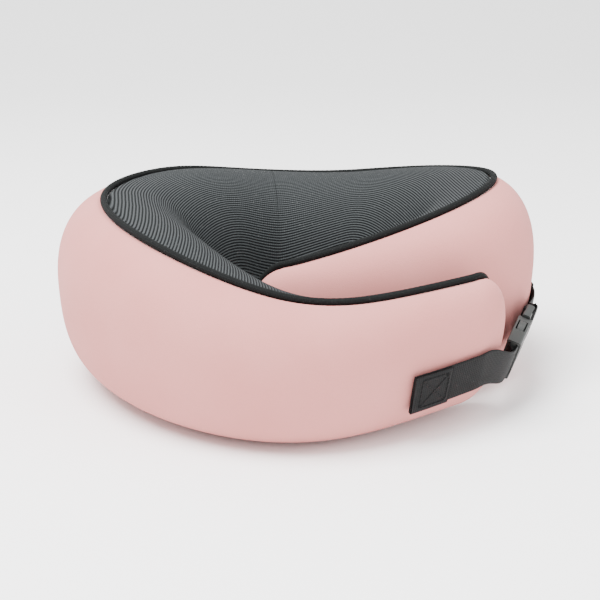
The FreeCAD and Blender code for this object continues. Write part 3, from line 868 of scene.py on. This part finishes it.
for half in HALVES:
    u = half_rows(half, 14, 76)
    round_section = np.linspace(0.0, 360.0, CORE_COLUMNS, endpoint=False)[None]
    depth = thinned(u[:, None], FOAM_AT)
    foam = carried_loop(f"foam_{half}_half", skin(u[:, None], round_section, depth))
    bend_half(finish_piece(foam, "foam"))
    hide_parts(*soft_nodes("foam", half))
    open_section = np.linspace(-134.0, 224.0, CORE_COLUMNS)[None]
    outer = skin(u[:, None], open_section, thinned(u[:, None], LINER_AT))
    inner = skin(u[:, None], open_section, thinned(u[:, None], LINER_AT + LINER_THICK))
    pattern = np.stack((run_lengths(outer, 0), run_lengths(outer, 1)), -1)
    liner = shell(f"liner_{half}_half", outer, inner, pattern)
    bend_half(finish_piece(liner, "liner"))
    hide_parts(*soft_nodes("liner", half))
print("foam and liner made")

# %% [markdown]
# ## Piping
#
# Piping is a strip of cloth folded round a filler cord and sewn into the seam. It is the line
# that draws the pillow, so it has to be even. A tube whose circles stand on the seam's own
# curve does that, and the seam's stitches pull it down a little every few millimetres.

# %% Make the piping
PIPE_PULL, PIPE_STITCH = 0.05, 3.2


def seam_path(u, inset):
    """The piping's middle line and the two directions that span its circles."""
    path = skin(u, rim_angle(u), inset)
    along = unit(np.gradient(path, axis=0))
    side = unit(np.cross(along, skin(u, rim_angle(u), inset - 1.0) - path))
    return path, side, unit(np.cross(side, along))


for half in HALVES:
    u = half_rows(half, 40, 420)
    path, side, up = seam_path(u, thinned(u, FABRIC / 2.0 - PIPE_PROUD))
    along = run_lengths(path[:, None], 0)
    pull = PIPE_PULL * np.cos(2.0 * np.pi * along[:, 0] / (PIPE_STITCH * MM))
    taper = np.minimum(1.0, 0.35 + along[:, 0] / 0.006)
    radius = (PIPE_RADIUS - PIPE_PULL + pull) * MM * taper
    ring = tube_round(path, side, up, radius, 18)
    round_it = np.linspace(0.0, 2.0 * np.pi * PIPE_RADIUS * MM, 18, endpoint=False)[None]
    pattern = np.stack(np.broadcast_arrays(along, round_it), -1)
    piping = carried_loop(f"piping_{half}_half", ring, pattern)
    bend_half(finish_piece(piping, "piping"))
    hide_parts(*soft_nodes("piping", half), *soft_nodes("piping_cord", half))
print("piping made")

# %% [markdown]
# ## Straps
#
# The strap is flat satin webbing. A remeshed cloth would lose its thin edges, so it is carried
# along a path instead: a section with rounded edges, held by three directions at every place.
# The path lies on the cover, crosses to the buckle in one easy curve, goes over the buckle's
# bar, down through its slot and back under itself. Its sewn end is doubled, and its cut edge
# is a little uneven.

# %% The buckle's place and the strap's section
BUCKLE_START = np.array((108.5, -75.0, 31.5)) * MM
BUCKLE_YAW, BUCKLE_PITCH, BUCKLE_ROLL = (math.radians(d) for d in (58.0, 16.0, 19.0))
WEB_WIDTH, WEB_THICK, WEB_LIFT = 24.0, 1.5, 2.05


def buckle_directions():
    """Along the buckle, out of the pillow through its broad face, and up across its width."""
    level = math.cos(BUCKLE_PITCH)
    length = np.array((
        math.cos(BUCKLE_YAW) * level, math.sin(BUCKLE_YAW) * level, math.sin(BUCKLE_PITCH)
    ))
    side = np.array((math.sin(BUCKLE_YAW), -math.cos(BUCKLE_YAW), 0.0))
    width = np.cross(side, length) * math.cos(BUCKLE_ROLL) + side * math.sin(BUCKLE_ROLL)
    return length, -np.cross(width, length), width


B_LENGTH, B_OUT, B_WIDTH = buckle_directions()


def in_buckle(along, out):
    """Points on the buckle's middle plane, from lengths (mm) along it and out of it."""
    along, out = np.broadcast_arrays(np.asarray(along, float), np.asarray(out, float))
    return BUCKLE_START + (along[:, None] * B_LENGTH + out[:, None] * B_OUT) * MM


def on_cover(u, angle, lift=WEB_LIFT):
    """Middle and width direction of webbing that lies on the cover."""
    width = unit(skin(u, angle + 4.0) - skin(u, angle - 4.0))
    ahead = skin(u - 0.04, angle) - skin(u + 0.04, angle)
    outward = unit(np.cross(width, ahead))
    outward *= np.sign(np.sum(outward * out_direction(u), -1, keepdims=True))
    return skin(u, angle) + outward * lift * MM, width


def easy_curve(start, leaving, end, arriving, count):
    """A cubic from one point to another that leaves and arrives in given directions."""
    t = np.linspace(0.0, 1.0, count)[1:-1, None]
    reach = np.linalg.norm(end - start)
    first, second = start + leaving * reach / 3.0, end - arriving * reach / 3.0
    s = 1.0 - t
    return s**3 * start + 3 * s * s * t * first + 3 * s * t * t * second + t**3 * end


def evenly(path, width, step):
    """The same path with its places a fixed step (m) apart, and the width direction with it."""
    travelled = np.concatenate(([0.0], np.cumsum(np.linalg.norm(np.diff(path, axis=0), axis=1))))
    marks = np.linspace(0.0, travelled[-1], int(travelled[-1] / step) + 1)
    columns = [np.interp(marks, travelled, column) for column in np.hstack((path, width)).T]
    both = np.stack(columns, -1)
    return both[:, :3], unit(both[:, 3:]), marks


def webbing(name, path, width, marks, thick, ragged=0.0):
    """Webbing along a path: a flat section whose edges are rounded as an ellipse to a power.

    ragged (mm) moves the first row's points along the strap, as an uneven cut.
    """
    along = unit(np.gradient(path, axis=0))
    outward = unit(np.cross(along, width))
    turn = np.linspace(0.0, 2.0 * np.pi, 40, endpoint=False)
    across = signed_power(np.cos(turn), 0.35) * WEB_WIDTH / 2.0
    through = signed_power(np.sin(turn), 0.6) / 2.0
    loops = path[:, None] + width[:, None] * (across * MM)[:, None]
    loops = loops + outward[:, None] * (thick[:, None] * through * MM)[..., None]
    fray = ragged * MM * np.random.default_rng(7).uniform(-1.0, 1.0, 40)
    loops[0] += along[0] * fray[:, None]
    pattern = np.stack(np.broadcast_arrays(marks[:, None], across * MM), -1)
    return carried_loop(name, loops, pattern)


print("buckle points along", B_LENGTH.round(3))

# %% Lay both straps
OUTER_ANGLE, INNER_ANGLE = -11.0, -14.0
TAB_LONG = 26.0


def round_bar(middle, reach, half, tail):
    """Over a bar, round it and back under: half an ellipse, then a straight tail (mm)."""
    turn = np.linspace(np.pi / 2.0, -np.pi / 2.0, 15)
    along = middle + reach * np.cos(turn)
    out = half * np.sin(turn)
    back = np.linspace(middle, middle - tail * np.sign(reach), 8)[1:]
    rise = smoothstep(np.abs(back - middle) / abs(tail)) * (2.0 * half - WEB_THICK - 0.15)
    return np.concatenate((along, back)), np.concatenate((out, rise - half))


def lay_strap(name, u, angle, bar, body, arrive, node):
    """One strap from its sewn end on the cover to its loop round a bar of the buckle.

    bar is the loop's middle, reach, half height and tail; arrive is where it reaches the bar.
    The strap rides on the body and stands for the frame's node.
    """
    path, width = on_cover(u, np.full_like(u, angle))
    along, out = round_bar(*bar)
    start = in_buckle([arrive], [bar[2]])
    loop = in_buckle(along, out)
    toward = B_LENGTH * np.sign(bar[1])
    bridge = easy_curve(path[-1], unit(path[-1] - path[-2]), start[0], toward, 16)
    path = np.concatenate((path, bridge, start, loop))
    turned = smoothstep(np.linspace(0.0, 1.0, len(bridge) + 2))[1:-1, None]
    flip = np.sign(width[-1] @ B_WIDTH)
    widths = (width, unit(width[-1] * (1 - turned) + flip * B_WIDTH * turned))
    width = np.concatenate((*widths, np.tile(flip * B_WIDTH, (len(loop) + 1, 1))))
    path, width, marks = evenly(path, width, 0.0012)
    thick = WEB_THICK + 0.0 * marks
    strap = finish_piece(webbing(name, path, width, marks, thick, 0.25), "webbing")
    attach(strap, body)
    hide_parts(node)
    return path, width, marks


OUTER_PATH = lay_strap(
    "outer_webbing", np.linspace(1.02, 0.30, 38), OUTER_ANGLE,
    (1.5, 2.5, 2.45, 7.0), "outer_arm", -2.0, "outer_strap",
)
SIDE_PATH = lay_strap(
    "side_webbing", np.linspace(8.58, 9.3, 44), INNER_ANGLE,
    (39.0, -2.4, 3.35, 7.0), "back", 43.0, "side_strap",
)
print("outer strap is", round(OUTER_PATH[2][-1] / MM), "mm long with its loop")


# %% The doubled ends and their stitches
def out_direction_at(point):
    """Away from the middle of the neck hole, level: outwards for anything on the outside."""
    return unit(np.array((point[0], point[1], 0.0)))


def doubled_end(name, strap, body):
    """The webbing's end folded onto itself: a second layer whose cut edge frays."""
    path, width, marks = strap
    part = marks <= TAB_LONG * MM
    along = unit(np.gradient(path, axis=0))
    outward = unit(np.cross(along, width))
    outward *= np.sign(outward[0] @ out_direction_at(path[0]))
    lifted = path + outward * (WEB_THICK - 0.1) * MM
    thick = 1.25 - 0.5 * smoothstep((marks - (TAB_LONG - 3.0) * MM) / (3.0 * MM))
    obj = webbing(name, lifted[part], width[part], marks[part], thick[part], 0.7)
    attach(finish_piece(obj, "webbing"), body)
    return lifted + outward * 0.62 * MM


def stitch_shape():
    """One stitch: a thread that dives at both ends, six-sided, one unit long."""
    t = np.linspace(-0.5, 0.5, 7)
    rise = 0.35 * np.cos(np.pi * t)
    thick = 0.5 * np.sqrt(np.maximum(1.0 - (2.0 * t) ** 2 * 0.75, 0.0))
    turn = np.linspace(0.0, 2.0 * np.pi, 6, endpoint=False)
    across = thick[:, None] * np.cos(turn)
    up = rise[:, None] + thick[:, None] * np.sin(turn)
    return np.stack((np.broadcast_to(t[:, None], up.shape), across, up), -1)


def stitch_run(name, middles, along, up, body, slot="thread", long=2.6, thick=0.55):
    """A row of stitches: the one shape, set at each middle along its own direction."""
    shape = stitch_shape()
    across = np.cross(up, along)
    local = shape * np.array((long, thick, thick)) * MM
    points = (
        middles[:, None, None]
        + local[None, ..., :1] * along[:, None, None]
        + local[None, ..., 1:2] * across[:, None, None]
        + local[None, ..., 2:] * up[:, None, None]
    )
    rows, columns = shape.shape[:2]
    one = grid_quads(rows, columns, round_columns=True).tolist()
    one += [list(range(columns))[::-1], [(rows - 1) * columns + n for n in range(columns)]]
    faces = [[corner + k * rows * columns for corner in face]
             for k in range(len(middles)) for face in one]
    pattern = np.broadcast_to(shape[None, ..., :2] * MM, (*points.shape[:-1], 2))
    obj = face_outwards(make_object(name, points, faces, pattern))
    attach(finish_piece(obj, slot), body)
    return obj


STITCH_PITCH, BOX_HALF, BOX_MIDDLE = 2.9, 9.0, 13.5
FACES_IN_STITCH = 38


def box_stitching(name, strap, top, body):
    """A square of stitches with its two diagonals, sewn through the doubled end."""
    path, width, marks = strap
    corners = np.array(((-1, -1), (1, -1), (1, 1), (-1, 1), (-1, -1), (1, 1), (1, -1), (-1, 1)))
    legs = [(0, 1), (1, 2), (2, 3), (3, 4), (4, 5), (6, 7)]
    spots, heads = [], []
    for first, last in legs:
        start, end = corners[first] * BOX_HALF, corners[last] * BOX_HALF
        count = max(2, round(float(np.linalg.norm(end - start)) / STITCH_PITCH))
        t = (np.arange(count)[:, None] + 0.5) / count
        spots.append(start + (end - start) * t)
        heads.append(np.broadcast_to(unit(end - start), (count, 2)))
    spot, head = np.concatenate(spots), np.concatenate(heads)
    distance = (BOX_MIDDLE + spot[:, 0]) * MM
    here = np.stack([np.interp(distance, marks, column) for column in top.T], -1)
    wide = unit(np.stack([np.interp(distance, marks, column) for column in width.T], -1))
    ahead = np.gradient(path, axis=0)
    along = unit(np.stack([np.interp(distance, marks, column) for column in ahead.T], -1))
    up = unit(np.cross(along, wide))
    up *= np.sign(up @ out_direction_at(path[0]))[:, None]
    points = here + wide * spot[:, 1:] * MM
    direction = unit(along * head[:, :1] + wide * head[:, 1:])
    return stitch_run(name, points, direction, up, body)


OUTER_TOP = doubled_end("outer_webbing_tab", OUTER_PATH, "outer_arm")
SIDE_TOP = doubled_end("side_webbing_tab", SIDE_PATH, "back")
outer_box = box_stitching("outer_box_stitches", OUTER_PATH, OUTER_TOP, "outer_arm")
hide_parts("outer_strap_stitching")
side_box = box_stitching("side_box_stitches", SIDE_PATH, SIDE_TOP, "back")
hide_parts("side_strap_stitching")
print("stitches in a box:", len(outer_box.data.polygons) // FACES_IN_STITCH)

# %% [markdown]
# ## Buckle and zip metal
#
# The hard parts have their true shapes already, but no moulded or cast part has razor edges.
# Each is copied, its loose triangles are merged into faces, and a fine bevel rounds every sharp
# edge, so that the edges catch the light as real ones do.


# %% Bevelled copies of the hard parts
def rounded_copy(node, body, slot, bevel):
    """A copy of a frame part with its sharp edges rounded by bevel (mm)."""
    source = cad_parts[node]
    mesh = source.data.copy()
    copy = bpy.data.objects.new(f"{node}_moulded", mesh)
    bpy.context.scene.collection.objects.link(copy)
    work = bmesh.new()
    work.from_mesh(mesh)
    bmesh.ops.remove_doubles(work, verts=work.verts, dist=2e-6)
    bmesh.ops.dissolve_limit(
        work, angle_limit=math.radians(1.5), verts=work.verts, edges=work.edges
    )
    work.to_mesh(mesh)
    work.free()
    mesh.polygons.foreach_set("use_smooth", np.ones(len(mesh.polygons), bool))
    rounding = copy.modifiers.new("Rounding", "BEVEL")
    rounding.width = bevel * MM
    rounding.segments = 3
    rounding.limit_method = "ANGLE"
    rounding.angle_limit = math.radians(35.0)
    rounding.harden_normals = True
    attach(finish_piece(copy, slot), body)
    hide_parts(node)
    return copy


HARD_PARTS = (
    ("buckle_socket", "outer_arm", "buckle", 0.35),
    ("buckle_plug", "back", "buckle", 0.3),
    ("prong_upper", "prong_upper", "buckle", 0.3),
    ("prong_lower", "prong_lower", "buckle", 0.3),
    ("zip_slider", "zip_slider", "zip_metal", 0.12),
    ("zip_pull", "zip_pull", "zip_metal", 0.15),
    ("zip_stop_top", "back", "zip_metal", 0.15),
    ("zip_stop_bottom", "back", "zip_metal", 0.15),
)
for node, body, slot, bevel in HARD_PARTS:
    rounded_copy(node, body, slot, bevel)
print("hard parts:", len(HARD_PARTS))

# %% [markdown]
# ## Zip
#
# A nylon zip's teeth are two long coils sewn to woven tapes. Each coil is a helix carried along
# the zip's arc, and the two are half a turn apart. They lie just clear of the slider's post, so
# that the slider can run along them.

# %% Coils, tapes and label
ZIP_X, ZIP_Y, ZIP_RADIUS, ZIP_HEIGHT, ZIP_TILT = -10.0, 19.0, 37.6, 12.1, math.radians(52.0)
ZIP_SWEEP = 100.0
COIL_PITCH, COIL_STEPS = 1.5, 14
# Each coil's middle is beside the zip's; its loops reach this far either way, and stand out.
COIL_BESIDE, COIL_REACH, COIL_STAND, THREAD_RADIUS = 1.64, 0.89, 0.55, 0.24
COIL_FIRST, COIL_LAST = 12.7, 96.8
TAPE_NEAR, TAPE_FAR, TAPE_HALF = 1.2, 9.6, 0.25


def on_zip(degrees, down, out):
    """A point on the zip: degrees along its arc, then mm down its cone and out of the cone."""
    turn = np.radians(90.0 - ZIP_SWEEP / 2.0 + degrees)
    radius = ZIP_RADIUS + down * math.cos(ZIP_TILT) - out * math.sin(ZIP_TILT)
    height = ZIP_HEIGHT - down * math.sin(ZIP_TILT) - out * math.cos(ZIP_TILT)
    x, y = ZIP_X + radius * np.cos(turn), ZIP_Y + radius * np.sin(turn)
    return np.stack((x, y, height + 0.0 * turn), -1) * MM


def zip_coil(name, node, side):
    """A flattened helix of nylon thread: its loops stop short of the slider's post."""
    turns = math.radians(COIL_LAST - COIL_FIRST) * ZIP_RADIUS / COIL_PITCH
    count = int(turns * COIL_STEPS)
    phase = np.linspace(0.0, 2.0 * np.pi * turns, count) + (np.pi if side < 0 else 0.0)
    degrees = np.linspace(COIL_FIRST, COIL_LAST, count)
    beside = side * (COIL_BESIDE - COIL_REACH * np.cos(phase))
    path = on_zip(degrees, beside, COIL_STAND * np.sin(phase))
    along = unit(np.gradient(path, axis=0))
    out = unit(on_zip(degrees, 0.0, 1.0) - on_zip(degrees, 0.0, 0.0))
    across = unit(np.cross(along, out))
    up = unit(np.cross(across, along))
    coil = carried_loop(name, tube_round(path, across, up, THREAD_RADIUS * MM, 6))
    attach(finish_piece(coil, "zip_coil"), "back")
    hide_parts(node)


zip_coil("zip_coil_lower_loops", "zip_coil_lower", 1.0)
zip_coil("zip_coil_upper_loops", "zip_coil_upper", -1.0)


def zip_tape(name, node, side):
    """Woven tape beside the coil, a flat strip on the zip's cone that slopes a little towards its far
    edge.
    """
    degrees = np.linspace(0.0, ZIP_SWEEP, 90)[:, None]
    wide = np.linspace(TAPE_NEAR, TAPE_FAR, 12)[None]
    droop = TAPE_HALF * (wide - TAPE_NEAR) / (TAPE_FAR - TAPE_NEAR)
    outer = on_zip(*np.broadcast_arrays(degrees, side * wide, TAPE_HALF - droop))
    inner = on_zip(*np.broadcast_arrays(degrees, side * wide, -TAPE_HALF - droop))
    pattern = np.stack((run_lengths(outer, 0), run_lengths(outer, 1)), -1)
    tape = shell(name, outer, inner, pattern)
    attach(finish_piece(tape, "zip_tape"), "back")
    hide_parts(node)


zip_tape("zip_tape_lower_woven", "zip_tape_lower", 1.0)
zip_tape("zip_tape_upper_woven", "zip_tape_upper", -1.0)


def care_label():
    """A blank satin label, held in the seam along one edge and curling away from the mesh."""
    place, angle, high, long = 5.15, 192.0, 12.0, 14.0
    here = skin(np.array([place]), np.array([angle]))[0]
    up = unit(skin(place, angle - 5.0) - skin(place, angle + 5.0))
    along = unit(skin(place + 0.02, angle) - skin(place - 0.02, angle))
    out = np.cross(up, along)
    out *= -np.sign(out @ out_direction(np.array([place]))[0])
    rise, run = np.linspace(0.0, 1.0, 14)[:, None], np.linspace(-0.5, 0.5, 16)[None]
    curl = 1.0 + 0.9 * rise**2 + 0.25 * np.sin(2.0 * np.pi * run) * rise
    middle = (
        here
        + up * ((rise - 0.5) * high * MM * (0.0 * run + 1.0))[..., None]
        + along * (run * long * MM * (0.0 * rise + 1.0))[..., None]
    )
    outer = middle + out * (curl * MM)[..., None]
    inner = middle + out * ((curl - 0.22) * MM)[..., None]
    pattern = np.stack((run_lengths(outer, 1), run_lengths(outer, 0)), -1)
    label = shell("blank_care_label", outer, inner, pattern)
    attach(finish_piece(label, "label"), "back")
    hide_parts("care_label")


care_label()
print("zip and label made")

# %% [markdown]
# ## Camera and light
#
# The pillow stands on a plain pale floor under broad soft light, with a brighter side at the
# upper left, and the camera looks slightly down on it from the front.

# %% Floor, light and camera
CAMERA_TARGET = np.array((-0.005, 0.007, 0.070))
CAMERA_AZIMUTH, CAMERA_ELEVATION = math.radians(-8.19), math.radians(15.93)
CAMERA_DISTANCE = 0.83445


def make_floor():
    """A floor that rises behind the pillow in one smooth bend, so that no edge shows."""
    across = np.linspace(-3.0, 3.0, 2)[None]
    along = np.linspace(-2.0, 4.0, 60)[:, None]
    rise = 0.25 * np.maximum(along - 1.2, 0.0) ** 2
    x, y, z = np.broadcast_arrays(across, along, rise + float(cad_low.z) - 0.0003)
    floor = make_object("floor", np.stack((x, y, z), -1), grid_quads(60, 2).tolist())
    material, tree, shader = new_material("pale_floor", 0.9, Specular_IOR_Level=0.1)
    shade = put(tree, "ShaderNodeTexNoise", {"Vector": own_place(tree), "Scale": 3.0}).outputs[0]
    colour(tree, shader, mixed(tree, shade, (0.93, 0.93, 0.93), (0.95, 0.95, 0.95)))
    floor.data.materials.append(material)


def soft_light(name, place, target, size, power):
    light = bpy.data.lights.new(name, "AREA")
    light.shape = "DISK"
    light.size = size
    light.energy = power
    obj = bpy.data.objects.new(name, light)
    bpy.context.scene.collection.objects.link(obj)
    obj.location = place
    aim = obj.location.copy()
    aim.x, aim.y, aim.z = (t - p for t, p in zip(target, place))
    obj.rotation_mode = "QUATERNION"
    obj.rotation_quaternion = aim.to_track_quat("-Z", "Y")


def make_camera():
    data = bpy.data.cameras.new("camera")
    data.lens, data.sensor_width = 80.57, 36.0
    data.shift_x, data.shift_y = 0.0092, -0.0582
    camera = bpy.data.objects.new("camera", data)
    bpy.context.scene.collection.objects.link(camera)
    level = math.cos(CAMERA_ELEVATION)
    back = np.array((
        math.sin(CAMERA_AZIMUTH) * level,
        -math.cos(CAMERA_AZIMUTH) * level,
        math.sin(CAMERA_ELEVATION),
    ))
    camera.location = CAMERA_TARGET + back * CAMERA_DISTANCE
    camera.rotation_mode = "QUATERNION"
    look = camera.location.copy()
    look.x, look.y, look.z = -back
    camera.rotation_quaternion = look.to_track_quat("-Z", "Y")
    bpy.context.scene.camera = camera


make_floor()
soft_light("key", (-0.6, -0.4, 1.6), (0.0, 0.0, 0.05), 1.2, 95.0)
soft_light("fill", (1.0, -0.9, 0.9), (0.0, 0.0, 0.05), 1.6, 14.0)
world = bpy.data.worlds.new("studio")
world.use_nodes = True
world.node_tree.nodes["Background"].inputs["Color"].default_value = (1.0, 1.0, 1.0, 1.0)
world.node_tree.nodes["Background"].inputs["Strength"].default_value = 1.8
bpy.context.scene.world = world
make_camera()
